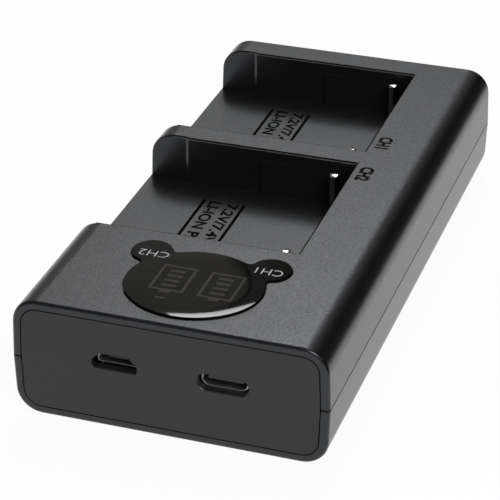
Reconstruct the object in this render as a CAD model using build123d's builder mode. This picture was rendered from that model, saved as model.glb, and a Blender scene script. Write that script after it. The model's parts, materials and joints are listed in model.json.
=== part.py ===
from build123d import *
import os
from math import acos, degrees, radians, tan

# Camera battery charger with two battery bays in one moulded housing.
# The bays are open at the top and at the left side, so a battery pack slides in towards +X.
# A domed display window sits in the block in front of the bays, and the front panel
# holds a USB-C inlet and a micro-USB inlet.
# Frame: origin under the middle of the base, +Y from the inlets to the rear, +Z up.
# All sizes are in millimetres.

# Housing
bay_reach = 44.7        # from the open left side to the end wall of a bay
side_strip = 15.7       # from the end wall of a bay to the right side
bay_width = 39.0        # between the guide faces of a bay
bay_floor = 14.0        # height of the bay floors
bay_depth = 9.9         # from the bay floor to the top face
partition = 6.3         # between the two bays
rear_rim = 7.1          # behind the rear bay
wall = 1.6              # outer walls, bay walls and bay floors
draft = 2.0             # taper of the sides, in degrees, widest at the parting line
corner_r = 5.0          # long edges of the housing
inner_r = 0.8           # least radius of the same edges further in
rim_r = 0.7             # edges at the front and rear ends
bay_ledge = 0.5         # step along the upper edges of the bays
bay_ledge_drop = 0.3
parting_sill = 0.6      # from the underside of a bay floor to the parting line
parting_gap = 0.3       # shadow groove round the housing
lip_thickness = 0.7     # tongue of the bottom shell, inside the wall
lip_bite = 0.6          # how far the tongue rises past the underside of the bay floors
lip_clear = 0.06

# Bay details
guide_step = 0.35       # the mouth of a bay is wider than its guides by this at each side
mouth_length = 8.5      # from the open left side to where the guides start
guide_lead = 0.6        # slanted start of the guides
wedge_length = 15.0     # ribs that press on the sides of a pack
wedge_end = 5.5         # from the end wall to the thin end of a wedge
wedge_lead = 0.4
wedge_proud = 0.55
wedge_height = 7.4
rail_length = 26.0      # two grooves that frame the middle of a bay floor
rail_width = 0.7
rail_depth = 0.3
rail_spread = 8.55      # between the two grooves
rail_set = 21.7         # from the end wall to the nearer groove

# Contact pins
pin_d = 2.2
pin_set = 3.75          # from the end wall
pin_inset = 2.9         # from the guide faces
pin_drop = 1.5          # crown below the top face
pin_crown_r = 4.0       # curve of the crown
pin_edge_r = 0.35       # round edge of the crown
pin_tail_d = 1.1        # soldered into the board
pin_tail = 0.8          # below the board
pin_clear = 0.08

# Display window: an oval with two round label tabs
oval_half = 11.85       # half depth
oval_extra = 1.2        # half width beyond the half depth
oval_ease = 1.0         # half depth beyond the radius of the ends
tab_r = 3.85
tab_inset = 1.4         # tab centre inside the side of the oval
tab_ahead = 2.45        # tab centre in front of the rear of the oval
tab_blend = 1.15        # hollow corners beside the tabs
window_web = 0.4        # from the flange of the front panel to the oval
window_rear = 4.5       # from the tabs to the front bay
window_seat = 0.8       # depth of the seat in the top face
window_proud = 0.6      # height of the crown above the top face
window_rim = 0.1        # upright edge of the crown
window_slope = 3.0      # width of its slope
window_gap = 0.25       # shadow line round the window

# Display stack under the window
lcd_width = 22.0
lcd_depth = 17.0
lcd_ledge = 1.2         # rim of the seat that overlaps the display glass
lcd_glass = 1.6
backlight = 1.6
display_gap = 0.1       # foam between the glass and the housing
display_board_t = 1.0
display_board_depth = 23.0
display_side = 2.0      # from the display board to the screw posts
display_post_d = 4.0
display_post_edge = 2.6     # post centre to the side of the display board
display_screw_d = 1.7
display_screw_grip = 2.6    # thread in the post
display_head_d = 3.2
display_head_h = 1.1

# Main board
board_gap = 0.65        # under the bay floors
board_t = 1.2
board_side = 1.2        # to the side walls
board_end = 0.4         # to the panel and to the rear screw posts
ledge_width = 1.4       # ribs of the bottom shell that carry the board
ledge_bite = 2.0        # how far they reach under the board
ledge_count = 5

# Housing screws and their posts
post_d = 5.0            # upper posts
post_tip_d = 3.6        # tips that pass the board
post_base_d = 6.0       # lower posts
post_side = 6.7         # post centre to the side of the housing
post_front = 11.8       # front posts behind the front end
post_clear = 0.15
screw_d = 2.2
screw_grip = 6.0        # thread above the joint of the posts
screw_head_d = 4.2
screw_head_h = 1.6
screw_sink = 1.2        # head above the base
screw_clear = 0.1
cross_width = 0.7       # driver recess
cross_depth = 0.9
pilot_spare = 0.5       # hole beyond the end of a screw

# Front panel
panel_t = 1.5
panel_gap = 0.22
flange_t = 0.7          # ring behind the panel, held in a groove of both shells
flange_bite = 0.45
flange_width = 2.4
flange_clear = 0.06
inlet_side = 10.35      # inlets from the middle
inlet_back = 0.05       # mouth of the USB-C inlet behind the panel plate
inlet_bevel = 0.2

# USB-C inlet
usbc_cut_width = 9.6
usbc_cut_height = 3.3
usbc_width = 8.94
usbc_height = 3.2
usbc_shell = 0.3
usbc_length = 7.3
usbc_tongue_width = 6.7
usbc_tongue_height = 0.7
usbc_tongue_back = 0.6      # tongue behind the mouth

# Micro-USB inlet: a flat bottom and slanted upper corners
micro_cut_width = 8.6
micro_cut_height = 2.95
micro_width = 7.5
micro_height = 2.45
micro_slant = 1.05          # slanted corner, across and up
micro_cut_slant = 1.55
micro_corner_r = 0.35
micro_shell = 0.25
micro_length = 5.6
micro_lift = 2.1            # middle of the inlet above the board
micro_back = 0.35           # its mouth behind the mouth of the USB-C inlet
micro_leg = 1.6
micro_leg_t = 0.5
micro_tongue_width = 3.7
micro_tongue_height = 0.6
micro_tongue_back = 0.5

# Parts on the boards
plug_fit = 0.03             # insulators inside the inlets
plug_depth = 1.2
coil_size = 7.0
coil_height = 3.6
coil_corner = 1.2
coil_core_d = 4.6
coil_core_sink = 0.4
chip_width = 3.9
chip_length = 5.0
chip_height = 1.5
chip_pitch = 1.27
chip_leg = 0.42
chip_leg_reach = 1.0
chip_legs = 4
coil_to_chip = 10.0
control_width = 7.5
control_length = 10.3
control_legs = 8
control_back = 11.5         # behind the middle of the window
can_d = 6.3
can_height = 5.4
can_bevel = 0.8
can_side = 12.5
can_back = 10.5             # behind the front end
header_width = 2.5
header_height = 2.5
header_pitch = 2.54
header_pin = 0.64
header_count = 6
header_back = 8.5           # behind the middle of the window

# Worked out from the sizes above
width = bay_reach + side_strip
height = bay_floor + bay_depth
window_front = panel_t + flange_t + window_web
tab_side = oval_half + oval_extra - tab_inset
tab_back = oval_half - tab_ahead
front_block = window_front + oval_half + tab_back + tab_r + window_rear
length = front_block + 2 * bay_width + partition + rear_rim
front = -length / 2
rear = length / 2
parting = bay_floor - wall - parting_sill
lip_top = parting + parting_sill + lip_bite
bay_end = width / 2 - side_strip
ch2_bay = front + front_block + bay_width / 2
ch1_bay = ch2_bay + bay_width + partition
window_y = front + window_front + oval_half
oval_shift = oval_extra + oval_extra ** 2 / (2 * oval_ease)
board_top = bay_floor - wall - board_gap
board_base = board_top - board_t
post_x = width / 2 - post_side
front_post_y = front + post_front
rear_post_y = rear - wall - post_clear - post_tip_d / 2
flange_front = front + panel_t
flange_rear = flange_front + flange_t
usbc_mouth = front + panel_t + inlet_back
micro_mouth = usbc_mouth + micro_back
usbc_z = board_top + usbc_height / 2
micro_z = board_top + micro_lift
lcd_top = height - wall - display_gap
display_top = lcd_top - lcd_glass - backlight
display_base = display_top - display_board_t
display_half = post_x - post_d / 2 - display_side
display_post_x = display_half - display_post_edge
board_half = width / 2 - wall - board_side
board_front = flange_rear + board_end
board_rear = rear_post_y - post_base_d / 2 - board_end
pin_x = bay_end - pin_set
pin_half = bay_width / 2 - pin_inset

standing = (Align.CENTER, Align.CENTER, Align.MIN)
hanging = (Align.CENTER, Align.CENTER, Align.MAX)

os.makedirs("parts", exist_ok=True)


def at_posts(z):
    return [(side * post_x, y, z) for side in (-1, 1) for y in (front_post_y, rear_post_y)]


def at_display_posts(z):
    return [(side * display_post_x, window_y, z) for side in (-1, 1)]


def body_prism(inset, start, end):
    """Cross-section of the housing, set in from its outside, from start to end along Y."""
    slope = tan(radians(draft))
    half = width / 2 - inset
    top_half = half - (height - inset - parting) * slope
    base_half = half - (parting - inset) * slope
    with BuildPart() as prism:
        with BuildSketch(Plane.XZ.offset(-start)) as section:
            with BuildLine():
                Polyline(
                    (base_half, inset),
                    (half, parting),
                    (top_half, height - inset),
                    (-top_half, height - inset),
                    (-half, parting),
                    (-base_half, inset),
                    close=True,
                )
            make_face()
            levels = section.vertices().group_by(Axis.Y)
            fillet(levels[0] + levels[-1], radius=max(corner_r - inset, inner_r))
        extrude(amount=start - end)
    return prism.part


def lip_ring(clear):
    """Tongue along both sides and the rear, grown by a clearance for the rebate it enters."""
    outer = wall - lip_thickness - clear
    start = flange_rear + board_end - clear
    with BuildPart() as ring:
        add(body_prism(outer, start, rear - outer))
        add(body_prism(wall + clear, start, rear - wall - clear), mode=Mode.SUBTRACT)
        with Locations((0, 0, lip_top)):
            Box(2 * width, 2 * length, 2 * (lip_top - parting), align=hanging, mode=Mode.INTERSECT)
    return ring.part


def panel_groove():
    """Groove round the inside of both shells that holds the flange of the front panel."""
    inset = wall - flange_bite - flange_clear
    return body_prism(inset, flange_front - flange_clear, flange_rear + flange_clear)


def window_prism(grow, base, top):
    """Outline of the display window as a prism, grown by a clearance."""
    with BuildPart() as prism:
        with BuildSketch(Plane.XY.offset(base)) as outline:
            with Locations((0, window_y - oval_shift)):
                Circle(oval_half + oval_shift + grow)
            with Locations((0, window_y + oval_shift)):
                Circle(oval_half + oval_shift + grow, mode=Mode.INTERSECT)
            fillet(outline.vertices(), radius=oval_half - oval_ease + grow)
            with Locations((-tab_side, window_y + tab_back), (tab_side, window_y + tab_back)):
                Circle(tab_r + grow)
            hollows = outline.vertices().filter_by(lambda corner: corner.Y > window_y)
            fillet(hollows, radius=tab_blend - grow)
        extrude(amount=top - base)
    return prism.part


def bay_pocket(bay_y, grow):
    """Space of one bay: a wide mouth, a slanted lead and the guide faces, grown by a step."""
    guide = bay_width / 2 + grow
    mouth_half = guide + guide_step
    guide_start = mouth_length - width / 2
    with BuildPart() as pocket:
        with BuildSketch(Plane.XY.offset(bay_floor)) as plan:
            with BuildLine():
                Polyline(
                    (bay_end + grow, bay_y),
                    (bay_end + grow, bay_y + guide),
                    (guide_start, bay_y + guide),
                    (guide_start - guide_lead, bay_y + mouth_half),
                    (-width, bay_y + mouth_half),
                    (-width, bay_y),
                    close=True,
                )
            make_face()
            mirror(about=Plane.XZ.offset(-bay_y))
        extrude(amount=2 * bay_depth)
    return pocket.part


def micro_prism(full_width, full_height, slant, corner, start, end):
    """Outline of the micro-USB inlet from start to end along Y."""
    with BuildPart() as prism:
        with BuildSketch(Plane.XZ.offset(-start)) as outline:
            with Locations((-inlet_side, micro_z)):
                Rectangle(full_width, full_height)
            chamfer(outline.vertices().group_by(Axis.Y)[-1], length=slant)
            fillet(outline.vertices(), radius=corner)
        extrude(amount=start - end)
    return prism.part


def micro_core(fit, start, end):
    """Inside of the micro-USB sleeve, less a fit all round."""
    shrink = 2 * (micro_shell + fit)
    return micro_prism(micro_width - shrink, micro_height - shrink, micro_slant - micro_shell / 2,
                       micro_corner_r - micro_shell / 2, start, end)


def usbc_prism(full_width, full_height, start, end):
    """Outline of the USB-C inlet from start to end along Y."""
    with BuildPart() as prism:
        with BuildSketch(Plane.XZ.offset(-start)):
            with Locations((inlet_side, usbc_z)):
                SlotOverall(full_width, full_height)
        extrude(amount=start - end)
    return prism.part


# Top shell: the housing above the parting line, with the bays hanging into its hollow
with BuildPart() as top_hollow:
    add(body_prism(wall, front, rear - wall))
    for bay_y in (ch2_bay, ch1_bay):
        with Locations((bay_end + wall, bay_y, bay_floor - wall)):
            Box(2 * width, bay_width + 2 * (guide_step + wall), 2 * height,
                align=(Align.MAX, Align.CENTER, Align.MIN), mode=Mode.SUBTRACT)

with BuildPart() as bay_ledges:
    for bay_y in (ch2_bay, ch1_bay):
        add(bay_pocket(bay_y, bay_ledge))
    add(body_prism(bay_ledge_drop, front, rear), mode=Mode.SUBTRACT)

with BuildPart() as top_shell:
    add(body_prism(0, front, rear))
    split(bisect_by=Plane.XY.offset(parting + parting_gap / 2))
    ends = top_shell.faces().filter_by(Axis.Y).edges()
    fillet(ends.filter_by(lambda edge: edge.center().Z > parting + parting_gap), radius=rim_r)
    for bay_y in (ch2_bay, ch1_bay):
        add(bay_pocket(bay_y, 0), mode=Mode.SUBTRACT)
    add(bay_ledges.part, mode=Mode.SUBTRACT)
    add(top_hollow.part, mode=Mode.SUBTRACT)
    # Screw posts, stepped to press the board on the lower posts
    with Locations(*at_posts(board_top)):
        Cylinder(post_d / 2, height - wall / 2 - board_top, align=standing)
    with Locations(*at_posts(board_base)):
        Cylinder(post_tip_d / 2, board_t, align=standing)
        Cylinder(screw_d / 2 + screw_clear, screw_grip + pilot_spare, align=standing, mode=Mode.SUBTRACT)
    # Posts for the display board
    with Locations(*at_display_posts(display_top)):
        Cylinder(display_post_d / 2, height - wall / 2 - display_top, align=standing)
        Cylinder(display_screw_d / 2 + screw_clear, display_screw_grip + pilot_spare,
                 align=standing, mode=Mode.SUBTRACT)
    # Rebate for the tongue and groove for the panel flange
    add(lip_ring(lip_clear), mode=Mode.SUBTRACT)
    add(panel_groove(), mode=Mode.SUBTRACT)
    # Bay details: wedge ribs, framing grooves and pin holes
    for bay_y in (ch2_bay, ch1_bay):
        thin_end = bay_end - wedge_end
        thick_end = thin_end - wedge_length + wedge_lead
        with BuildSketch(Plane.XY.offset(bay_floor)):
            with BuildLine():
                Polyline(
                    (thin_end, bay_y + bay_width / 2),
                    (thick_end, bay_y + bay_width / 2 - wedge_proud),
                    (thick_end - wedge_lead, bay_y + bay_width / 2),
                    (thick_end, bay_y + bay_width / 2 + guide_step),
                    close=True,
                )
            make_face()
            mirror(about=Plane.XZ.offset(-bay_y))
        extrude(amount=wedge_height)
        with Locations((bay_end - rail_set - rail_spread / 2, bay_y, bay_floor)):
            with GridLocations(rail_spread, 0, 2, 1):
                Box(rail_width, rail_length, 2 * rail_depth, mode=Mode.SUBTRACT)
        with Locations((pin_x, bay_y, bay_floor)):
            with GridLocations(0, 2 * pin_half, 1, 2):
                Cylinder(pin_d / 2 + pin_clear, 3 * wall, mode=Mode.SUBTRACT)
    # Seat of the display window, and the opening over the display glass
    add(window_prism(window_gap, height - window_seat, height + window_proud), mode=Mode.SUBTRACT)
    with BuildSketch(Plane.XY.offset(height - 2 * wall)):
        with Locations((0, window_y)):
            RectangleRounded(lcd_width - 2 * lcd_ledge, lcd_depth - 2 * lcd_ledge, lcd_ledge)
    extrude(amount=2 * wall, mode=Mode.SUBTRACT)
top_shell.part.label = "top_shell"
export_step(top_shell.part, "parts/top_shell.step")

# Bottom shell: a tray with screw posts, board ledges and the tongue
with BuildPart() as board_ledges:
    with Locations((0, (board_rear + front_post_y) / 2, 0)):
        with GridLocations(0, (board_rear - front_post_y) / ledge_count, 1, ledge_count):
            Box(width, ledge_width, board_base, align=standing)
    Box(2 * (board_half - ledge_bite), length, height, mode=Mode.SUBTRACT)
    add(body_prism(wall / 2, front, rear), mode=Mode.INTERSECT)

with BuildPart() as bottom_shell:
    add(body_prism(0, front, rear))
    split(bisect_by=Plane.XY.offset(parting - parting_gap / 2), keep=Keep.BOTTOM)
    ends = bottom_shell.faces().filter_by(Axis.Y).edges()
    fillet(ends.filter_by(lambda edge: edge.center().Z < parting - parting_gap), radius=rim_r)
    add(body_prism(wall, front, rear - wall), mode=Mode.SUBTRACT)
    add(lip_ring(0))
    add(panel_groove(), mode=Mode.SUBTRACT)
    add(board_ledges.part)
    with Locations(*at_posts(wall / 2)):
        Cylinder(post_base_d / 2, board_base - wall / 2, align=standing)
    with Locations(*at_posts(0)):
        Cylinder(screw_d / 2 + screw_clear, board_base, align=standing, mode=Mode.SUBTRACT)
        Cylinder(screw_head_d / 2 + screw_clear, screw_sink + screw_head_h,
                 align=standing, mode=Mode.SUBTRACT)
bottom_shell.part.label = "bottom_shell"
export_step(bottom_shell.part, "parts/bottom_shell.step")

# Front panel: a flush plate with two inlet cuts and a flange ring behind its edge
with BuildPart() as front_panel:
    add(body_prism(wall + panel_gap, front, flange_rear))
    add(body_prism(wall - flange_bite, flange_front, flange_rear))
    add(body_prism(wall + flange_width, flange_front, flange_rear), mode=Mode.SUBTRACT)
    add(usbc_prism(usbc_cut_width, usbc_cut_height, front, flange_rear), mode=Mode.SUBTRACT)
    add(micro_prism(micro_cut_width, micro_cut_height, micro_cut_slant, micro_corner_r, front, flange_rear),
        mode=Mode.SUBTRACT)
    plate = front_panel.faces().sort_by(Axis.Y)[0]
    chamfer(plate.inner_wires().edges(), length=inlet_bevel)
front_panel.part.label = "front_panel"
export_step(front_panel.part, "parts/front_panel.step")

# Display window: a clear moulding whose crown slopes down to its rim
with BuildPart() as display_window:
    add(window_prism(0, height - window_seat, height + window_proud))
    crown = display_window.faces().sort_by(Axis.Z)[-1]
    chamfer(crown.edges(), length=window_slope, length2=window_proud - window_rim, reference=crown)
display_window.part.label = "display_window"
export_step(display_window.part, "parts/display_window.step")

# Display glass, its backlight and the board that carries them
with BuildPart() as lcd_panel:
    with BuildSketch(Plane.XY.offset(lcd_top - lcd_glass)):
        with Locations((0, window_y)):
            Rectangle(lcd_width, lcd_depth)
    extrude(amount=lcd_glass)
lcd_panel.part.label = "lcd_panel"
export_step(lcd_panel.part, "parts/lcd_panel.step")

with BuildPart() as lcd_backlight:
    with BuildSketch(Plane.XY.offset(display_top)):
        with Locations((0, window_y)):
            RectangleRounded(lcd_width, lcd_depth, lcd_ledge)
    extrude(amount=backlight)
lcd_backlight.part.label = "lcd_backlight"
export_step(lcd_backlight.part, "parts/lcd_backlight.step")

with BuildPart() as display_board:
    with BuildSketch(Plane.XY.offset(display_base)):
        with Locations((0, window_y)):
            RectangleRounded(2 * display_half, display_board_depth, display_post_edge / 2)
        with Locations(*at_display_posts(0)):
            Circle(display_screw_d / 2 + screw_clear, mode=Mode.SUBTRACT)
    extrude(amount=display_board_t)
display_board.part.label = "display_board"
export_step(display_board.part, "parts/display_board.step")

with BuildPart() as display_screws:
    with Locations(*at_display_posts(display_base)):
        Cylinder(display_screw_d / 2, display_board_t + display_screw_grip, align=standing)
        Cylinder(display_head_d / 2, display_head_h, align=hanging)
display_screws.part.label = "display_screws"
export_step(display_screws.part, "parts/display_screws.step")

# Pin header between the main board and the display board
with BuildPart() as board_header:
    with Locations((0, window_y + header_back, board_top)):
        Box(header_count * header_pitch, header_width, header_height, align=standing)
        with GridLocations(header_pitch, 0, header_count, 1):
            Box(header_pin, header_pin, display_base - board_top, align=standing)
board_header.part.label = "board_header"
export_step(board_header.part, "parts/board_header.step")

# Main board under both bays, with holes for the front posts and the contact pins
with BuildPart() as main_board:
    with BuildSketch(Plane.XY.offset(board_base)):
        with Locations((0, (board_front + board_rear) / 2)):
            RectangleRounded(2 * board_half, board_rear - board_front, board_side)
        with Locations((-post_x, front_post_y), (post_x, front_post_y)):
            Circle(post_tip_d / 2 + post_clear, mode=Mode.SUBTRACT)
        for bay_y in (ch2_bay, ch1_bay):
            with Locations((pin_x, bay_y - pin_half), (pin_x, bay_y + pin_half)):
                Circle(pin_tail_d / 2 + pin_clear, mode=Mode.SUBTRACT)
    extrude(amount=board_t)
main_board.part.label = "main_board"
export_step(main_board.part, "parts/main_board.step")


# Contact pins: a post with a low crown on the board, with a tail through it
def contact_pin(name, y):
    radius = pin_d / 2
    tail = pin_tail_d / 2
    crown = height - pin_drop
    turn = degrees(acos(radius / pin_crown_r))
    with BuildPart() as pin:
        with BuildSketch(Plane.XZ.offset(-y)) as profile:
            with BuildLine():
                arc = CenterArc((0, crown - pin_crown_r), pin_crown_r, turn, 90 - turn)
                Polyline(
                    arc @ 1,
                    (0, board_base - pin_tail),
                    (tail, board_base - pin_tail),
                    (tail, board_top),
                    (radius, board_top),
                    arc @ 0,
                )
            make_face()
            rim = profile.vertices().group_by(Axis.X)[-1].sort_by(Axis.Y)[-1]
            fillet(rim, radius=pin_edge_r)
        revolve(axis=Axis((0, y, 0), (0, 0, 1)))
    pin.part.position += (pin_x, 0, 0)
    pin.part.label = name
    export_step(pin.part, f"parts/{name}.step")


for channel, bay_y in (("ch1", ch1_bay), ("ch2", ch2_bay)):
    contact_pin(f"{channel}_pin_plus", bay_y + pin_half)
    contact_pin(f"{channel}_pin_minus", bay_y - pin_half)

# USB-C inlet: a drawn steel sleeve, closed at the back, and its tongue
with BuildPart() as usb_c_shell:
    add(usbc_prism(usbc_width, usbc_height, usbc_mouth, usbc_mouth + usbc_length))
    add(usbc_prism(usbc_width - 2 * usbc_shell, usbc_height - 2 * usbc_shell,
                   usbc_mouth, usbc_mouth + usbc_length - usbc_shell), mode=Mode.SUBTRACT)
usb_c_shell.part.label = "usb_c_shell"
export_step(usb_c_shell.part, "parts/usb_c_shell.step")

with BuildPart() as usb_c_tongue:
    plug_rear = usbc_mouth + usbc_length - usbc_shell
    add(usbc_prism(usbc_width - 2 * (usbc_shell + plug_fit), usbc_height - 2 * (usbc_shell + plug_fit),
                   plug_rear - plug_depth, plug_rear))
    with Locations((inlet_side, plug_rear, usbc_z)):
        Box(usbc_tongue_width, plug_rear - usbc_mouth - usbc_tongue_back, usbc_tongue_height,
            align=(Align.CENTER, Align.MAX, Align.CENTER))
usb_c_tongue.part.label = "usb_c_tongue"
export_step(usb_c_tongue.part, "parts/usb_c_tongue.step")

# Micro-USB inlet: a sleeve on four legs, closed at the back, and its tongue
with BuildPart() as micro_usb_shell:
    sleeve_rear = micro_mouth + micro_length
    sleeve_base = micro_z - micro_height / 2
    add(micro_prism(micro_width, micro_height, micro_slant, micro_corner_r, micro_mouth, sleeve_rear))
    add(micro_core(0, micro_mouth, sleeve_rear - micro_shell), mode=Mode.SUBTRACT)
    leg_spread = micro_width - 2 * micro_corner_r - micro_leg_t
    with Locations((-inlet_side, (board_front + sleeve_rear) / 2, board_top)):
        with GridLocations(leg_spread, sleeve_rear - board_front - micro_leg, 2, 2):
            Box(micro_leg_t, micro_leg, sleeve_base + micro_shell / 2 - board_top, align=standing)
micro_usb_shell.part.label = "micro_usb_shell"
export_step(micro_usb_shell.part, "parts/micro_usb_shell.step")

with BuildPart() as micro_usb_tongue:
    plug_rear = micro_mouth + micro_length - micro_shell
    add(micro_core(plug_fit, plug_rear - plug_depth, plug_rear))
    with Locations((-inlet_side, plug_rear, micro_z)):
        Box(micro_tongue_width, plug_rear - micro_mouth - micro_tongue_back, micro_tongue_height,
            align=(Align.CENTER, Align.MAX, Align.CENTER))
micro_usb_tongue.part.label = "micro_usb_tongue"
export_step(micro_usb_tongue.part, "parts/micro_usb_tongue.step")


# Charging circuit of each channel, under the board below its bay
def charge_coil(name, y):
    with BuildPart() as coil:
        with BuildSketch(Plane.XY.offset(board_base - coil_height)) as block:
            with Locations((0, y)):
                Rectangle(coil_size, coil_size)
            chamfer(block.vertices(), length=coil_corner)
        extrude(amount=coil_height)
        with Locations((0, y, board_base - coil_height)):
            Cylinder(coil_core_d / 2, 2 * coil_core_sink, mode=Mode.SUBTRACT)
    coil.part.label = name
    export_step(coil.part, f"parts/{name}.step")


def leaded_chip(name, x, y, body_width, body_length, legs):
    with BuildPart() as chip:
        with Locations((x, y, board_base - chip_leg)):
            Box(body_width, body_length, chip_height, align=hanging)
        chamfer(chip.edges().group_by(Axis.Z)[0], length=chip_leg / 2)
        with Locations((x, y, board_base)):
            with GridLocations(0, chip_pitch, 1, legs):
                Box(body_width + 2 * chip_leg_reach, chip_leg, chip_leg + chip_height / 3, align=hanging)
            Box(body_width, body_length, chip_leg, align=hanging, mode=Mode.SUBTRACT)
    chip.part.label = name
    export_step(chip.part, f"parts/{name}.step")


for channel, bay_y in (("ch1", ch1_bay), ("ch2", ch2_bay)):
    charge_coil(f"{channel}_coil", bay_y)
    leaded_chip(f"{channel}_chip", -coil_to_chip, bay_y, chip_width, chip_length, chip_legs)
leaded_chip("control_chip", 0, window_y + control_back, control_width, control_length, control_legs)

# Input capacitors: round cans under the board behind the inlets
with BuildPart() as input_capacitors:
    with Locations((-can_side, front + can_back, board_base), (can_side, front + can_back, board_base)):
        Cylinder(can_d / 2, can_height, align=hanging)
    chamfer(input_capacitors.edges().group_by(Axis.Z)[0], length=can_bevel)
input_capacitors.part.label = "input_capacitors"
export_step(input_capacitors.part, "parts/input_capacitors.step")

# Housing screws, driven from below
with BuildPart() as case_screws:
    with Locations(*at_posts(screw_sink)):
        Cylinder(screw_head_d / 2, screw_head_h, align=standing)
        Cylinder(screw_d / 2, board_base + screw_grip - screw_sink, align=standing)
        Box(screw_head_d - 2 * cross_width, cross_width, 2 * cross_depth, mode=Mode.SUBTRACT)
        Box(cross_width, screw_head_d - 2 * cross_width, 2 * cross_depth, mode=Mode.SUBTRACT)
case_screws.part.label = "case_screws"
export_step(case_screws.part, "parts/case_screws.step")
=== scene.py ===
import bpy
import bmesh
import json
from math import radians, sin, cos
from mathutils import Matrix, Vector, geometry, kdtree


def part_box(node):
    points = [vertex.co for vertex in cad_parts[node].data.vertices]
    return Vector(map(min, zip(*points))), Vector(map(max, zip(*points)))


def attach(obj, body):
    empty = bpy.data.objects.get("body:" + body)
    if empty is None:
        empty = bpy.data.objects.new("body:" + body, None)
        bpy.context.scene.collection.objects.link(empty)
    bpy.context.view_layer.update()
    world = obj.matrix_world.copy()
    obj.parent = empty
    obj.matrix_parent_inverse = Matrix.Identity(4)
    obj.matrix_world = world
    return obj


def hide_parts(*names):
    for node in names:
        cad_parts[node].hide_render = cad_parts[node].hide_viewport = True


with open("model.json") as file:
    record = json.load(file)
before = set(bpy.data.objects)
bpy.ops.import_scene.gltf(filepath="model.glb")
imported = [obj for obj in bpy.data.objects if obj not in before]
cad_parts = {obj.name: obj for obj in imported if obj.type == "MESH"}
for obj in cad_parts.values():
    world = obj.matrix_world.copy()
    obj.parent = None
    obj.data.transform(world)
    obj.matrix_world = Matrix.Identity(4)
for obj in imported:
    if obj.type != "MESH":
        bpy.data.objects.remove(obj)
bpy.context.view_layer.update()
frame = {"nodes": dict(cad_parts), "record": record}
nodes = frame["nodes"]
mm = 0.001
print("frame loaded,", len(nodes), "nodes")


# turns a finished shape into an object of the scene
def placed(name, shape):
    mesh = bpy.data.meshes.new(name)
    shape.to_mesh(mesh)
    shape.free()
    piece = bpy.data.objects.new(name, mesh)
    bpy.context.scene.collection.objects.link(piece)
    return piece


# small helpers for the node trees, sizes in metres
def newFinish(name):
    finish = bpy.data.materials.new(name)
    finish.use_nodes = True
    tree = finish.node_tree
    return finish, tree, tree.nodes["Principled BSDF"]


def objectPoints(tree, stretch=(1, 1, 1)):
    place = tree.nodes.new("ShaderNodeMapping")
    place.inputs["Scale"].default_value = stretch
    tree.links.new(tree.nodes.new("ShaderNodeTexCoord").outputs["Object"], place.inputs["Vector"])
    return place.outputs["Vector"]


def grainField(tree, points, size, detail=2.0):
    field = tree.nodes.new("ShaderNodeTexNoise")
    field.inputs["Scale"].default_value = 1 / size
    field.inputs["Detail"].default_value = detail
    tree.links.new(points, field.inputs["Vector"])
    return field.outputs["Fac"]


def between(tree, field, low, high, start=0.3, end=0.7):
    spread = tree.nodes.new("ShaderNodeMapRange")
    spread.inputs["From Min"].default_value = start
    spread.inputs["From Max"].default_value = end
    spread.inputs["To Min"].default_value = low
    spread.inputs["To Max"].default_value = high
    tree.links.new(field, spread.inputs["Value"])
    return spread.outputs["Result"]


def shades(tree, field, dark, light, start=0.3, end=0.7):
    ramp = tree.nodes.new("ShaderNodeValToRGB")
    ramp.color_ramp.elements[0].position = start
    ramp.color_ramp.elements[1].position = end
    ramp.color_ramp.elements[0].color = (*dark, 1)
    ramp.color_ramp.elements[1].color = (*light, 1)
    tree.links.new(field, ramp.inputs["Fac"])
    return ramp.outputs["Color"]


def relief(tree, field, depth):
    bump = tree.nodes.new("ShaderNodeBump")
    bump.inputs["Strength"].default_value = 1.0
    bump.inputs["Distance"].default_value = depth
    tree.links.new(field, bump.inputs["Height"])
    return bump.outputs["Normal"]


# one value on the sides and another on surfaces that face up
def onTop(tree, facing, limits, side, top):
    spread = tree.nodes.new("ShaderNodeMapRange")
    spread.inputs["From Min"].default_value, spread.inputs["From Max"].default_value = limits
    spread.inputs["To Min"].default_value = side
    tree.links.new(facing.outputs["Z"], spread.inputs["Value"])
    tree.links.new(top, spread.inputs["To Max"])
    return spread.outputs["Result"]


# moulded plastic: a fine spark-eroded grain and an uneven sheen, smoother on the sides than on top
def mouldedPlastic(name, look):
    finish, tree, shader = newFinish(name)
    points = objectPoints(tree)
    grain = grainField(tree, points, look["grainSize"], 3.0)
    polish = between(tree, grainField(tree, points, look["cloudSize"]), *look["roughness"])
    shader.inputs["Specular IOR Level"].default_value = look.get("gloss", 0.5)
    if "sideRoughness" in look:
        facing = tree.nodes.new("ShaderNodeSeparateXYZ")
        tree.links.new(tree.nodes.new("ShaderNodeNewGeometry").outputs["Normal"], facing.inputs["Vector"])
        polish = onTop(tree, facing, look["sideFrom"], look["sideRoughness"], polish)
        sheen = onTop(tree, facing, look["sideFrom"], look["sideSheen"], between(tree, grain, *look["sheen"]))
        tree.links.new(sheen, shader.inputs["Specular IOR Level"])
    shader.inputs["Specular Tint"].default_value = (*look.get("tint", (1, 1, 1)), 1)
    tree.links.new(shades(tree, grain, look["dark"], look["light"]), shader.inputs["Base Color"])
    tree.links.new(polish, shader.inputs["Roughness"])
    tree.links.new(relief(tree, grain, look["grainDepth"]), shader.inputs["Normal"])
    shader.inputs["IOR"].default_value = look["ior"]
    return finish


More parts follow.
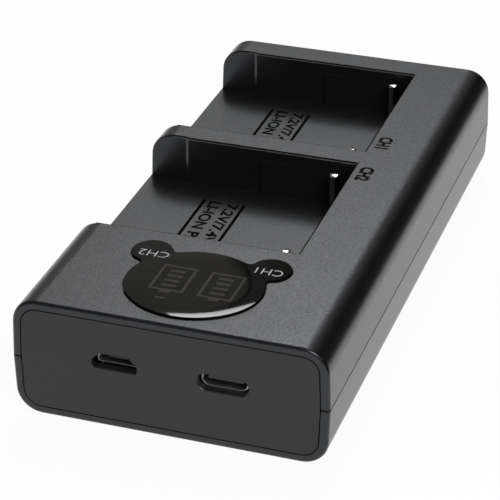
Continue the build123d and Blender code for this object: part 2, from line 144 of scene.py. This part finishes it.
housingLook = {
    "dark": (0.0052, 0.0053, 0.0058),
    "light": (0.0082, 0.0084, 0.0090),
    "grainSize": 0.40 * mm,
    "grainDepth": 0.012 * mm,
    "cloudSize": 9 * mm,
    "roughness": (0.36, 0.385),
    "sheen": (0.30, 0.70),
    "tint": (0.91, 0.945, 1.0),
    "sideRoughness": 0.27,
    "sideSheen": 0.5,
    "sideFrom": (0.80, 0.95),   # upward part of the normal between the sides and the texture of the top
    "ior": 1.53,
}
panelLook = {
    "dark": (0.0070, 0.0070, 0.0074),
    "light": (0.0095, 0.0095, 0.0100),
    "grainSize": 0.20 * mm,
    "grainDepth": 0.003 * mm,
    "cloudSize": 12 * mm,
    "roughness": (0.38, 0.42),
    "ior": 1.5,
}
resinLook = {
    "dark": (0.010, 0.010, 0.010),
    "light": (0.020, 0.020, 0.019),
    "grainSize": 0.08 * mm,
    "grainDepth": 0.004 * mm,
    "cloudSize": 2 * mm,
    "roughness": (0.45, 0.60),
    "ior": 1.5,
}
insulatorLook = {
    "dark": (0.050, 0.050, 0.050),
    "light": (0.075, 0.075, 0.074),
    "grainSize": 0.08 * mm,
    "grainDepth": 0.002 * mm,
    "cloudSize": 2 * mm,
    "roughness": (0.30, 0.40),
    "ior": 1.5,
}
ferriteLook = {
    "dark": (0.045, 0.045, 0.048),
    "light": (0.075, 0.074, 0.074),
    "grainSize": 0.15 * mm,
    "grainDepth": 0.012 * mm,
    "cloudSize": 1.5 * mm,
    "roughness": (0.60, 0.75),
    "ior": 1.5,
}
guideLook = {
    "dark": (0.74, 0.75, 0.73),
    "light": (0.84, 0.85, 0.83),
    "grainSize": 0.4 * mm,
    "grainDepth": 0.003 * mm,
    "cloudSize": 5 * mm,
    "roughness": (0.35, 0.45),
    "ior": 1.49,
}


# metal: fine streaks along one axis, and a slow change of polish
def streakedMetal(name, look):
    finish, tree, shader = newFinish(name)
    streak = grainField(tree, objectPoints(tree, look["stretch"]), look["streakSize"], 4.0)
    cloud = grainField(tree, objectPoints(tree), look["cloudSize"])
    tree.links.new(shades(tree, streak, look["dark"], look["light"]), shader.inputs["Base Color"])
    tree.links.new(between(tree, cloud, *look["roughness"]), shader.inputs["Roughness"])
    tree.links.new(relief(tree, streak, look["streakDepth"]), shader.inputs["Normal"])
    shader.inputs["Metallic"].default_value = 1.0
    return finish


contactLook = {
    "dark": (0.44, 0.44, 0.43),
    "light": (0.54, 0.54, 0.52),
    "stretch": (1, 1, 6),
    "streakSize": 0.5 * mm,
    "streakDepth": 0.0004 * mm,
    "cloudSize": 1.2 * mm,
    "roughness": (0.09, 0.14),
}
sleeveLook = {
    "dark": (0.52, 0.52, 0.53),
    "light": (0.64, 0.64, 0.64),
    "stretch": (6, 0.5, 6),
    "streakSize": 1.0 * mm,
    "streakDepth": 0.002 * mm,
    "cloudSize": 2.0 * mm,
    "roughness": (0.40, 0.50),
}
screwLook = {
    "dark": (0.05, 0.05, 0.055),
    "light": (0.10, 0.10, 0.105),
    "stretch": (1, 1, 1),
    "streakSize": 0.3 * mm,
    "streakDepth": 0.004 * mm,
    "cloudSize": 1.5 * mm,
    "roughness": (0.35, 0.50),
}
canLook = {
    "dark": (0.66, 0.66, 0.67),
    "light": (0.76, 0.76, 0.76),
    "stretch": (1, 1, 0.2),
    "streakSize": 0.4 * mm,
    "streakDepth": 0.002 * mm,
    "cloudSize": 3.0 * mm,
    "roughness": (0.28, 0.40),
}

# circuit board: green mask with paler tracks that run in the board's plane
boardLook = {
    "mask": (0.004, 0.016, 0.009),
    "track": (0.008, 0.032, 0.018),
    "pitch": 2.2 * mm,
    "trackDepth": 0.02 * mm,
    "trackEdge": (0.38, 0.42),  # distance in the cell over which the mask turns into a track
    "roughness": 0.35,
}


def circuitBoard():
    finish, tree, shader = newFinish("circuitBoard")
    tracks = tree.nodes.new("ShaderNodeTexVoronoi")
    tracks.distance = "CHEBYCHEV"
    tracks.feature = "F1"
    tracks.inputs["Scale"].default_value = 1 / boardLook["pitch"]
    tree.links.new(objectPoints(tree), tracks.inputs["Vector"])
    edge = between(tree, tracks.outputs["Distance"], 0.0, 1.0, *boardLook["trackEdge"])
    tree.links.new(shades(tree, edge, boardLook["mask"], boardLook["track"], 0, 1), shader.inputs["Base Color"])
    tree.links.new(relief(tree, edge, boardLook["trackDepth"]), shader.inputs["Normal"])
    shader.inputs["Roughness"].default_value = boardLook["roughness"]
    return finish


# glossy dark window: almost a mirror, with faint smears that change its polish
windowLook = {
    "dark": (0.0028, 0.0026, 0.0022),
    "light": (0.0042, 0.0040, 0.0034),
    "smearSize": 4.5 * mm,
    "roughness": (0.030, 0.060),
    "ior": 1.37,
}


def glossyWindow(name, look):
    finish, tree, shader = newFinish(name)
    smear = grainField(tree, objectPoints(tree, (1, 0.35, 1)), look["smearSize"], 5.0)
    tree.links.new(shades(tree, smear, look["dark"], look["light"]), shader.inputs["Base Color"])
    tree.links.new(between(tree, smear, *look["roughness"]), shader.inputs["Roughness"])
    shader.inputs["IOR"].default_value = look["ior"]
    return finish


segmentLook = {
    "dark": (0.036, 0.034, 0.026),
    "light": (0.046, 0.043, 0.033),
    "smearSize": 1.5 * mm,
    "roughness": (0.05, 0.09),
    "ior": 1.34,
}
glassLook = {
    "dark": (0.020, 0.021, 0.019),
    "light": (0.028, 0.029, 0.026),
    "smearSize": 6 * mm,
    "roughness": (0.04, 0.08),
    "ior": 1.5,
}
printLook = {
    "dark": (0.32, 0.32, 0.33),
    "light": (0.42, 0.42, 0.43),
    "grainSize": 0.25 * mm,
    "grainDepth": 0.001 * mm,
    "cloudSize": 2 * mm,
    "roughness": (0.30, 0.40),
    "ior": 1.5,
}
# painted shade: near-black with almost no sheen, used for the engraved letters, the groove bottoms and the dark
# lines along the bay edges
paintedShadeLook = {
    "dark": (0.0015, 0.0015, 0.0016),
    "light": (0.0030, 0.0030, 0.0032),
    "grainSize": 0.12 * mm,
    "grainDepth": 0.004 * mm,
    "cloudSize": 2 * mm,
    "roughness": (0.75, 0.90),
    "gloss": 0.03,
    "ior": 1.4,
}

finishes = {
    "housing": mouldedPlastic("satinHousing", housingLook),
    "panel": mouldedPlastic("frontPlastic", panelLook),
    "window": glossyWindow("windowGloss", windowLook),
    "display_marks": glossyWindow("displaySegments", segmentLook),
    "window_print": mouldedPlastic("tabPrint", printLook),
    "engraving": mouldedPlastic("paintedShadeBlack", paintedShadeLook),
    "display_glass": glossyWindow("displayGlass", glassLook),
    "light_guide": mouldedPlastic("lightGuide", guideLook),
    "circuit_board": circuitBoard(),
    "black_moulding": mouldedPlastic("blackInsulator", insulatorLook),
    "contact_metal": streakedMetal("brightContact", contactLook),
    "inlet_steel": streakedMetal("inletSteel", sleeveLook),
    "screw_steel": streakedMetal("blackScrew", screwLook),
    "can_aluminium": streakedMetal("canAluminium", canLook),
    "coil_ferrite": mouldedPlastic("coilFerrite", ferriteLook),
    "chip_resin": mouldedPlastic("chipResin", resinLook),
}
for row in frame["record"]["subparts"]:
    slots = nodes[row["node"]].data.materials
    slots.clear()
    slots.append(finishes[row["material_slot"]])
print("finishes made,", len(finishes))

# display window: a shallow dome over the oval, with flat tabs, inside the outline of the solid window
domeShape = {
    "rim": 0.445 * mm,      # upright edge above the top face
    "slope": 3.325 * mm,    # width of the rounded border
    "steepness": 1.716,     # how fast the border falls near the edge
    "middle": -47.35 * mm,  # the oval's middle along the charger
    "ends": (2.2 * mm, 10.85 * mm),     # its two ends: centres beside the middle, and radius
    "sides": (1.92 * mm, 13.77 * mm),   # its front and rear: centres beyond the middle, and radius
    "spare": 0.016 * mm,    # left over the crown for the figures
    "step": 0.32 * mm,      # mesh spacing
    "rowHeight": 0.866,     # rows of the mesh, in steps
    "clear": 0.6,           # kept free along the outline, in steps
    "refine": 4,            # outline points for each one of the solid
}
seatLow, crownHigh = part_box("display_window")
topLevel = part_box("top_shell")[1].z
domeRise = crownHigh.z - topLevel - domeShape["rim"] - domeShape["spare"]


# outer edges of the solid's underside, chained into one loop
def undersideLoop(node, level):
    mesh = nodes[node].data
    key = lambda i: tuple(round(c, 7) for c in mesh.vertices[i].co)
    count = {}
    for face in mesh.polygons:
        if face.normal.z < -0.99 and abs(face.center.z - level) < 1e-5:
            ring = [key(i) for i in face.vertices]
            for a, b in zip(ring, ring[1:] + ring[:1]):
                count[frozenset((a, b))] = count.get(frozenset((a, b)), 0) + 1
    joined = {}
    for edge, uses in count.items():
        if uses == 1:
            a, b = edge
            joined.setdefault(a, []).append(b)
            joined.setdefault(b, []).append(a)
    start = min(joined)
    loop, last, here = [start], None, start
    while True:
        step = next(p for p in joined[here] if p != last)
        if step == start:
            return [Vector(p[:2]) for p in loop]
        loop.append(step)
        last, here = here, step


# smooth curve through the loop's points, evenly refined
def refined(loop, times):
    count = len(loop)
    points = []
    for i in range(count):
        a, b, c, d = (loop[(i + k) % count] for k in (-1, 0, 1, 2))
        for j in range(times):
            t = j / times
            points.append(0.5 * (2 * b + (c - a) * t + (2 * a - 5 * b + 4 * c - d) * t ** 2
                                 + (3 * b - a - 3 * c + d) * t ** 3))
    return points


windowEdge = refined(undersideLoop("display_window", seatLow.z), domeShape["refine"])
edgeTree = kdtree.KDTree(len(windowEdge))
for i, p in enumerate(windowEdge):
    edgeTree.insert((p.x, p.y, 0), i)
edgeTree.balance()


def ovalDepth(x, y):
    endPlace, endRadius = domeShape["ends"]
    sidePlace, sideRadius = domeShape["sides"]
    across, along = abs(x), abs(y - domeShape["middle"])
    if across * sidePlace > (along + sidePlace) * endPlace:
        return endRadius - Vector((across - endPlace, along)).length
    return sideRadius - Vector((across, along + sidePlace)).length


def domeHeight(x, y):
    depth = min(max(ovalDepth(x, y), 0) / domeShape["slope"], 1)
    return topLevel + domeShape["rim"] + domeRise * (1 - (1 - depth) ** domeShape["steepness"])


def windowDome():
    step = domeShape["step"]
    points = list(windowEdge)
    row = 0
    y = seatLow.y
    while y < crownHigh.y:
        x = seatLow.x + (row % 2) * step / 2
        while x < crownHigh.x:
            gap = edgeTree.find((x, y, 0))[2]
            if gap > domeShape["clear"] * step:
                points.append(Vector((x, y)))
            x += step
        y += step * domeShape["rowHeight"]
        row += 1
    rim = list(range(len(windowEdge)))
    edges = list(zip(rim, rim[1:] + rim[:1]))
    spots, _, faces, _, _, _ = geometry.delaunay_2d_cdt(points, edges, [], 1, 1e-7)
    shape = bmesh.new()
    top = [shape.verts.new((p.x, p.y, domeHeight(p.x, p.y))) for p in spots]
    for face in faces:
        shape.faces.new([top[i] for i in face])
    for face in shape.faces:
        face.smooth = True
    border = [edge for edge in shape.edges if edge.is_boundary]
    lower = bmesh.ops.extrude_edge_only(shape, edges=border)["geom"]
    for vert in (v for v in lower if isinstance(v, bmesh.types.BMVert)):
        vert.co.z = seatLow.z
    bmesh.ops.contextual_create(shape, geom=[e for e in shape.edges if e.is_boundary])
    bmesh.ops.recalc_face_normals(shape, faces=shape.faces)
    dome = placed("windowDome", shape)
    dome.data.set_sharp_from_angle(angle=radians(40))
    return dome


def seat(piece, slotName):
    piece.data.materials.clear()
    piece.data.materials.append(finishes[slotName])
    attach(piece, "root")
    return piece


dome = seat(windowDome(), "window")
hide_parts("display_window")
print("window dome,", len(dome.data.polygons), "faces")


# a thin closed plate of boxes, laid on a surface given by a height function
def laidBars(name, bars, thickness, height, pieceLength):
    shape = bmesh.new()
    for x0, x1, y0, y1 in bars:
        across = max(1, round((x1 - x0) / pieceLength))
        along = max(1, round((y1 - y0) / pieceLength))
        grid = {}
        for level in (0, 1):
            for i in range(across + 1):
                for j in range(along + 1):
                    x = x0 + (x1 - x0) * i / across
                    y = y0 + (y1 - y0) * j / along
                    grid[i, j, level] = shape.verts.new((x, y, height(x, y) + (level - 0.5) * thickness))
        for i in range(across):
            for j in range(along):
                for level in (0, 1):
                    shape.faces.new([grid[i, j, level], grid[i + 1, j, level],
                                     grid[i + 1, j + 1, level], grid[i, j + 1, level]])
        ring = [(i, 0) for i in range(across)] + [(across, j) for j in range(along)]
        ring += [(i, along) for i in range(across, 0, -1)] + [(0, j) for j in range(along, 0, -1)]
        for a, b in zip(ring, ring[1:] + ring[:1]):
            shape.faces.new([grid[(*a, 0)], grid[(*b, 0)], grid[(*b, 1)], grid[(*a, 1)]])
    bmesh.ops.recalc_face_normals(shape, faces=shape.faces)
    return placed(name, shape)


# battery figures of the display, one for each channel, drawn towards the front
figure = {
    "width": 6.68 * mm,
    "depth": 9.1 * mm,
    "line": 0.55 * mm,
    "barLength": 2.85 * mm,
    "barWidth": 0.74 * mm,
    "barPitch": 1.77 * mm,
    "barCount": 4,
    "capWidth": 1.9 * mm,
    "capDepth": 0.75 * mm,
    "underlineGap": 2.4 * mm,
    "rearBehindMiddle": 5.0 * mm,   # rear edge behind the middle of the oval
    "thickness": 0.03 * mm,
    "mesh": 0.8 * mm,
}
# middle across, shift along, and whether a dash stands in front of it
figurePlaces = {"leftFigure": (-4.15 * mm, 0.0, True), "rightFigure": (5.2 * mm, -0.12 * mm, False)}


def batteryBars(middle, shift, underline):
    half = figure["width"] / 2
    line = figure["line"]
    rear = domeShape["middle"] + figure["rearBehindMiddle"] + shift
    front = rear - figure["depth"]
    bars = [
        (middle - half, middle + half, rear - line, rear),
        (middle - half, middle + half, front, front + line),
        (middle - half, middle - half + line, front + line, rear - line),
        (middle + half - line, middle + half, front + line, rear - line),
        (middle - figure["capWidth"] / 2, middle + figure["capWidth"] / 2, front - figure["capDepth"], front),
    ]
    for i in range(figure["barCount"]):
        y = (rear + front) / 2 + (i - (figure["barCount"] - 1) / 2) * figure["barPitch"]
        bars.append((middle - figure["barLength"] / 2, middle + figure["barLength"] / 2,
                     y - figure["barWidth"] / 2, y + figure["barWidth"] / 2))
    if underline:
        y = front - figure["underlineGap"]
        bars.append((middle - figure["capWidth"] / 2, middle + figure["capWidth"] / 2, y - line, y))
    return bars


for name, (middle, shift, underline) in figurePlaces.items():
    bars = batteryBars(middle, shift, underline)
    seat(laidBars(name, bars, figure["thickness"], domeHeight, figure["mesh"]), "display_marks")
print("display figures laid")


# letters cut from a thin sheet and dropped on a surface
def letters(name, words, capHeight, spread, corner, turn, height, thickness, weight):
    curve = bpy.data.curves.new(name, "FONT")
    curve.body = words
    curve.resolution_u = 4
    curve.offset = weight
    curve.extrude = 0.5
    writer = bpy.data.objects.new(name + "Curve", curve)
    bpy.context.scene.collection.objects.link(writer)
    bpy.context.view_layer.update()
    mesh = bpy.data.meshes.new_from_object(writer.evaluated_get(bpy.context.evaluated_depsgraph_get()))
    bpy.data.objects.remove(writer)
    shape = bmesh.new()
    shape.from_mesh(mesh)
    bmesh.ops.remove_doubles(shape, verts=shape.verts, dist=1e-5)
    low = [min(v.co[k] for v in shape.verts) for k in (0, 1)]
    high = [max(v.co[k] for v in shape.verts) for k in (0, 1)]
    across = spread / (high[0] - low[0])
    up = capHeight / (high[1] - low[1])
    for vert in shape.verts:
        x = (vert.co.x - low[0]) * across
        y = (vert.co.y - low[1]) * up
        spot = Vector(corner) + Matrix.Rotation(radians(turn), 2) @ Vector((x, y))
        vert.co = (spot.x, spot.y, height(spot.x, spot.y) + vert.co.z * thickness)
    shape.to_mesh(mesh)
    shape.free()
    mesh.name = name
    piece = bpy.data.objects.new(name, mesh)
    bpy.context.scene.collection.objects.link(piece)
    return piece


# channel marks printed on the tabs of the window, read from the rear
tabMarks = {
    "capHeight": 2.15 * mm,
    "thickness": 0.03 * mm,
    "weight": -0.008,
    "left": ("CH2", 5.9 * mm, (-7.95 * mm, -38.0 * mm)),
    "right": ("CH1", 5.2 * mm, (14.25 * mm, -37.95 * mm)),
}
for side in ("left", "right"):
    words, spread, corner = tabMarks[side]
    seat(letters(side + "TabMark", words, tabMarks["capHeight"], spread, corner, 180, domeHeight,
                 tabMarks["thickness"], tabMarks["weight"]), "window_print")

# dark channel marks engraved in the top face beside each bay, read from the right side; laid as flat pieces
# whose black is painted shade standing in for the sunk strokes
engraved = {
    "capHeight": 2.9 * mm,
    "left": 15.8 * mm,
    "thickness": 0.012 * mm,
    "weight": 0.045,
    "rows": {"rearMark": ("CH1", 22.8 * mm, 5.4 * mm), "frontMark": ("CH2", 8.46 * mm, 6.06 * mm)},
}
for name, (words, start, spread) in engraved["rows"].items():
    corner = (engraved["left"], start)
    seat(letters(name, words, engraved["capHeight"], spread, corner, -90, lambda x, y: topLevel,
                 engraved["thickness"], engraved["weight"]), "engraving")

# plain ratings engraved between the grooves of each bay floor, laid as flat pieces whose black is painted shade
# of the sunk strokes
ratings = {
    "floor": 14.0 * mm,
    "thickness": 0.012 * mm,
    "weight": 0.035,
    "bays": {"rearBay": 35.2 * mm, "frontBay": -10.1 * mm},
    "lead": 12.6 * mm,
    "rows": {
        "A": ("LI-ION PACK", -14.5 * mm, 2.6 * mm, 24.4 * mm),
        "B": ("7.2V/7.4V DC", -10.75 * mm, 2.5 * mm, 24.6 * mm),
    },
}
for bay, middle in ratings["bays"].items():
    for row, (words, left, capHeight, spread) in ratings["rows"].items():
        corner = (left, middle + ratings["lead"])
        seat(letters(bay + "Rating" + row, words, capHeight, spread, corner, -90,
                     lambda x, y: ratings["floor"], ratings["thickness"], ratings["weight"]), "engraving")

# painted shade: dark strips in the bottoms of the two grooves that frame the ratings, standing in for the shade
# inside them
grooves = {
    "floor": 13.7 * mm,
    "places": (-15.75 * mm, -7.2 * mm),
    "width": 0.68 * mm,
    "length": 25.9 * mm,
    "thickness": 0.04 * mm,
    "mesh": 4 * mm,
}
for bay, middle in ratings["bays"].items():
    half = grooves["width"] / 2
    bars = [(x - half, x + half, middle - grooves["length"] / 2, middle + grooves["length"] / 2)
            for x in grooves["places"]]
    seat(laidBars(bay + "GrooveShade", bars, grooves["thickness"], lambda x, y: grooves["floor"],
                  grooves["mesh"]), "engraving")

# sill that fills the ledge along the end of each bay, with a painted shade line on its inner side
# each part: its two sides, how far it lies under the top, and its finish
sills = {
    "Outer": (14.78 * mm, 14.995 * mm, 0.002 * mm, "housing"),
    "InnerShade": (14.5 * mm, 14.78 * mm, 0.05 * mm, "engraving"),
}
# painted shade: a fine dark line along the near edge of each bay, between its guides and in its wider mouth,
# standing in for the shadow line at the lip
nearEdgeShade = {
    "guides": (-21.6 * mm, 14.45 * mm, 19.995 * mm),    # left end, right end, distance from the bay's middle
    "mouth": (-26.0 * mm, -22.4 * mm, 20.345 * mm),
    "width": 0.125 * mm,
    "sunk": 0.02 * mm,
}
ledge = {"level": 23.605 * mm, "reach": 19.95 * mm, "mesh": 4 * mm}


def ledgeBars(name, bars, sunk, finish):
    thickness = topLevel - sunk - ledge["level"]
    seat(laidBars(name, bars, thickness, lambda x, y: ledge["level"] + thickness / 2, ledge["mesh"]), finish)


for bay, middle in ratings["bays"].items():
    for part, (left, right, sunk, finish) in sills.items():
        bars = [(left, right, middle - ledge["reach"], middle + ledge["reach"])]
        ledgeBars(bay + part + "Sill", bars, sunk, finish)
    bars = [(left, right, middle - edge, middle - edge + nearEdgeShade["width"])
            for left, right, edge in (nearEdgeShade["guides"], nearEdgeShade["mouth"])]
    ledgeBars(bay + "NearEdgeShade", bars, nearEdgeShade["sunk"], "engraving")
print("marks laid")

# floor: white card that keeps the shadow of the charger
floorLook = {
    "level": -0.02 * mm,
    "reach": 6.0,
    "corners": 96,
    "card": (0.92, 0.92, 0.92),
    "roughness": 0.9,
    "backlit": 0.94,
}


def whiteFloor():
    shape = bmesh.new()
    bmesh.ops.create_circle(shape, cap_ends=True, segments=floorLook["corners"], radius=floorLook["reach"])
    card = placed("floorCard", shape)
    card.location.z = floorLook["level"]
    finish, tree, shader = newFinish("whiteCard")
    shader.inputs["Base Color"].default_value = (*floorLook["card"], 1)
    shader.inputs["Roughness"].default_value = floorLook["roughness"]
    shader.inputs["Specular IOR Level"].default_value = 0.0
    glow = tree.nodes.new("ShaderNodeEmission")
    glow.inputs["Strength"].default_value = 1.0
    path = tree.nodes.new("ShaderNodeLightPath")
    seen = tree.nodes.new("ShaderNodeMath")
    seen.operation = "MAXIMUM"
    seenThrough = tree.nodes.new("ShaderNodeMath")
    seenThrough.operation = "MAXIMUM"
    share = tree.nodes.new("ShaderNodeMath")
    share.operation = "MULTIPLY"
    share.inputs[1].default_value = floorLook["backlit"]
    mix = tree.nodes.new("ShaderNodeMixShader")
    tree.links.new(path.outputs["Is Camera Ray"], seen.inputs[0])
    tree.links.new(path.outputs["Is Glossy Ray"], seen.inputs[1])
    tree.links.new(seen.outputs[0], seenThrough.inputs[0])
    tree.links.new(path.outputs["Is Transmission Ray"], seenThrough.inputs[1])
    tree.links.new(seenThrough.outputs[0], share.inputs[0])
    tree.links.new(share.outputs[0], mix.inputs[0])
    tree.links.new(shader.outputs[0], mix.inputs[1])
    tree.links.new(glow.outputs[0], mix.inputs[2])
    tree.links.new(mix.outputs[0], tree.nodes["Material Output"].inputs["Surface"])
    card.data.materials.append(finish)


whiteFloor()

# cards that glow: the strength grows from the first side, between corners one and two, to the opposite side
# corners as turn from straight behind and rise above the floor, in degrees
aimPoint = Vector((0, -5 * mm, 12 * mm))
cards = {
    "rearSoftbox": {
        "corners": ((-24.0, 38.3), (-7.2, 33.4), (-0.9, 79.7), (-23.5, 45.3)),
        "distance": 2.0,
        "glow": (7.0, 14.6),
        "ramp": 0.28,               # share of the way at which the full strength is reached
        "colour": (1.0, 1.0, 1.0),
    },
    "rearCard": {
        "corners": ((-13.0, 6), (-18.4, 40), (-62, 42), (-62, 6)),
        "distance": 3.5,
        "glow": (0.0, 0.29),
        "ramp": 0.07,
        "colour": (1.0, 0.97, 0.92),
    },
}


def away(turn, rise):
    turn, rise = radians(turn), radians(rise)
    return Vector((sin(turn) * cos(rise), cos(turn) * cos(rise), sin(rise)))


def glowCard(name, plan, count=8):
    shape = bmesh.new()
    span = shape.loops.layers.uv.new("span")
    sides = [away(*corner) for corner in plan["corners"]]
    facing = sum(sides, Vector()).normalized()
    # one flat card, whatever its corners
    a, b, c, d = (aimPoint + side * (plan["distance"] / side.dot(facing)) for side in sides)
    grid = {}
    for i in range(count + 1):
        for j in range(count + 1):
            u, v = i / count, j / count
            grid[i, j] = shape.verts.new((a * (1 - u) + b * u) * (1 - v) + (d * (1 - u) + c * u) * v)
    for i in range(count):
        for j in range(count):
            ring = ((i, j), (i + 1, j), (i + 1, j + 1), (i, j + 1))
            face = shape.faces.new([grid[k] for k in ring])
            for loop, k in zip(face.loops, ring):
                loop[span].uv = (k[0] / count, k[1] / count)
    card = placed(name, shape)
    finish, tree, shader = newFinish(name)
    shader.inputs["Base Color"].default_value = (0, 0, 0, 1)
    shader.inputs["Specular IOR Level"].default_value = 0.0
    shader.inputs["Emission Color"].default_value = (*plan["colour"], 1)
    way = tree.nodes.new("ShaderNodeSeparateXYZ")
    tree.links.new(tree.nodes.new("ShaderNodeTexCoord").outputs["UV"], way.inputs["Vector"])
    glow = between(tree, way.outputs["Y"], *plan["glow"], 0.0, plan["ramp"])
    tree.links.new(glow, shader.inputs["Emission Strength"])
    card.data.materials.append(finish)
    card.visible_camera = False


for name, plan in cards.items():
    glowCard(name, plan)

# black flag on the right, which keeps the far floor out of the rounded long edge
flag = {"side": 0.085, "along": (-0.12, 0.50), "height": 0.12, "felt": (0.004, 0.004, 0.004)}


def blackFlag():
    x, (y0, y1), z = flag["side"], flag["along"], flag["height"]
    mesh = bpy.data.meshes.new("blackFlag")
    mesh.from_pydata([(x, y0, 0), (x, y1, 0), (x, y1, z), (x, y0, z)], [], [(0, 1, 2, 3)])
    card = bpy.data.objects.new("blackFlag", mesh)
    bpy.context.scene.collection.objects.link(card)
    finish, _, shader = newFinish("blackFelt")
    shader.inputs["Base Color"].default_value = (*flag["felt"], 1)
    shader.inputs["Roughness"].default_value = 1.0
    shader.inputs["Specular IOR Level"].default_value = 0.0
    mesh.materials.append(finish)
    card.visible_camera = False
    card.visible_diffuse = False
    card.visible_shadow = False


blackFlag()
print("cards placed")

# studio light: besides the softbox card, a soft fill in front on the right and a dim room
lamps = {
    "frontFill": {"turn": 140, "rise": 45, "distance": 1.2, "size": (0.7, 0.5), "watts": 8.8},
}
room = {"colour": (1.0, 1.0, 1.0), "strength": 0.13}


def placeLamp(name, plan):
    light = bpy.data.lights.new(name, "AREA")
    light.shape = "RECTANGLE"
    light.size, light.size_y = plan["size"]
    light.energy = plan["watts"]
    lamp = bpy.data.objects.new(name, light)
    bpy.context.scene.collection.objects.link(lamp)
    side = away(plan["turn"], plan["rise"])
    lamp.location = aimPoint + side * plan["distance"]
    lamp.rotation_mode = "QUATERNION"
    lamp.rotation_quaternion = (-side).to_track_quat("-Z", "Y")


for name, plan in lamps.items():
    placeLamp(name, plan)
world = bpy.data.worlds.new("dimRoom")
world.use_nodes = True
world.node_tree.nodes["Background"].inputs["Color"].default_value = (*room["colour"], 1)
world.node_tree.nodes["Background"].inputs["Strength"].default_value = room["strength"]
bpy.context.scene.world = world
print("lamps placed,", len(lamps))

# camera: a long lens in front, a little to the right
view = {
    "lens": 155.03,
    "sensor": 36,
    "nearest": 0.01,
    "eye": (116.567 * mm, -365.17 * mm, 219.452 * mm),
    "look": (-0.27628, 0.82922, -0.48587),
}
lens = bpy.data.cameras.new("productLens")
lens.lens = view["lens"]
lens.sensor_width = view["sensor"]
lens.clip_start = view["nearest"]
camera = bpy.data.objects.new("productCamera", lens)
bpy.context.scene.collection.objects.link(camera)
camera.location = view["eye"]
camera.rotation_mode = "QUATERNION"
camera.rotation_quaternion = Vector(view["look"]).to_track_quat("-Z", "Y")
bpy.context.scene.camera = camera
bpy.context.scene.view_settings.view_transform = "Standard"
print("camera set")
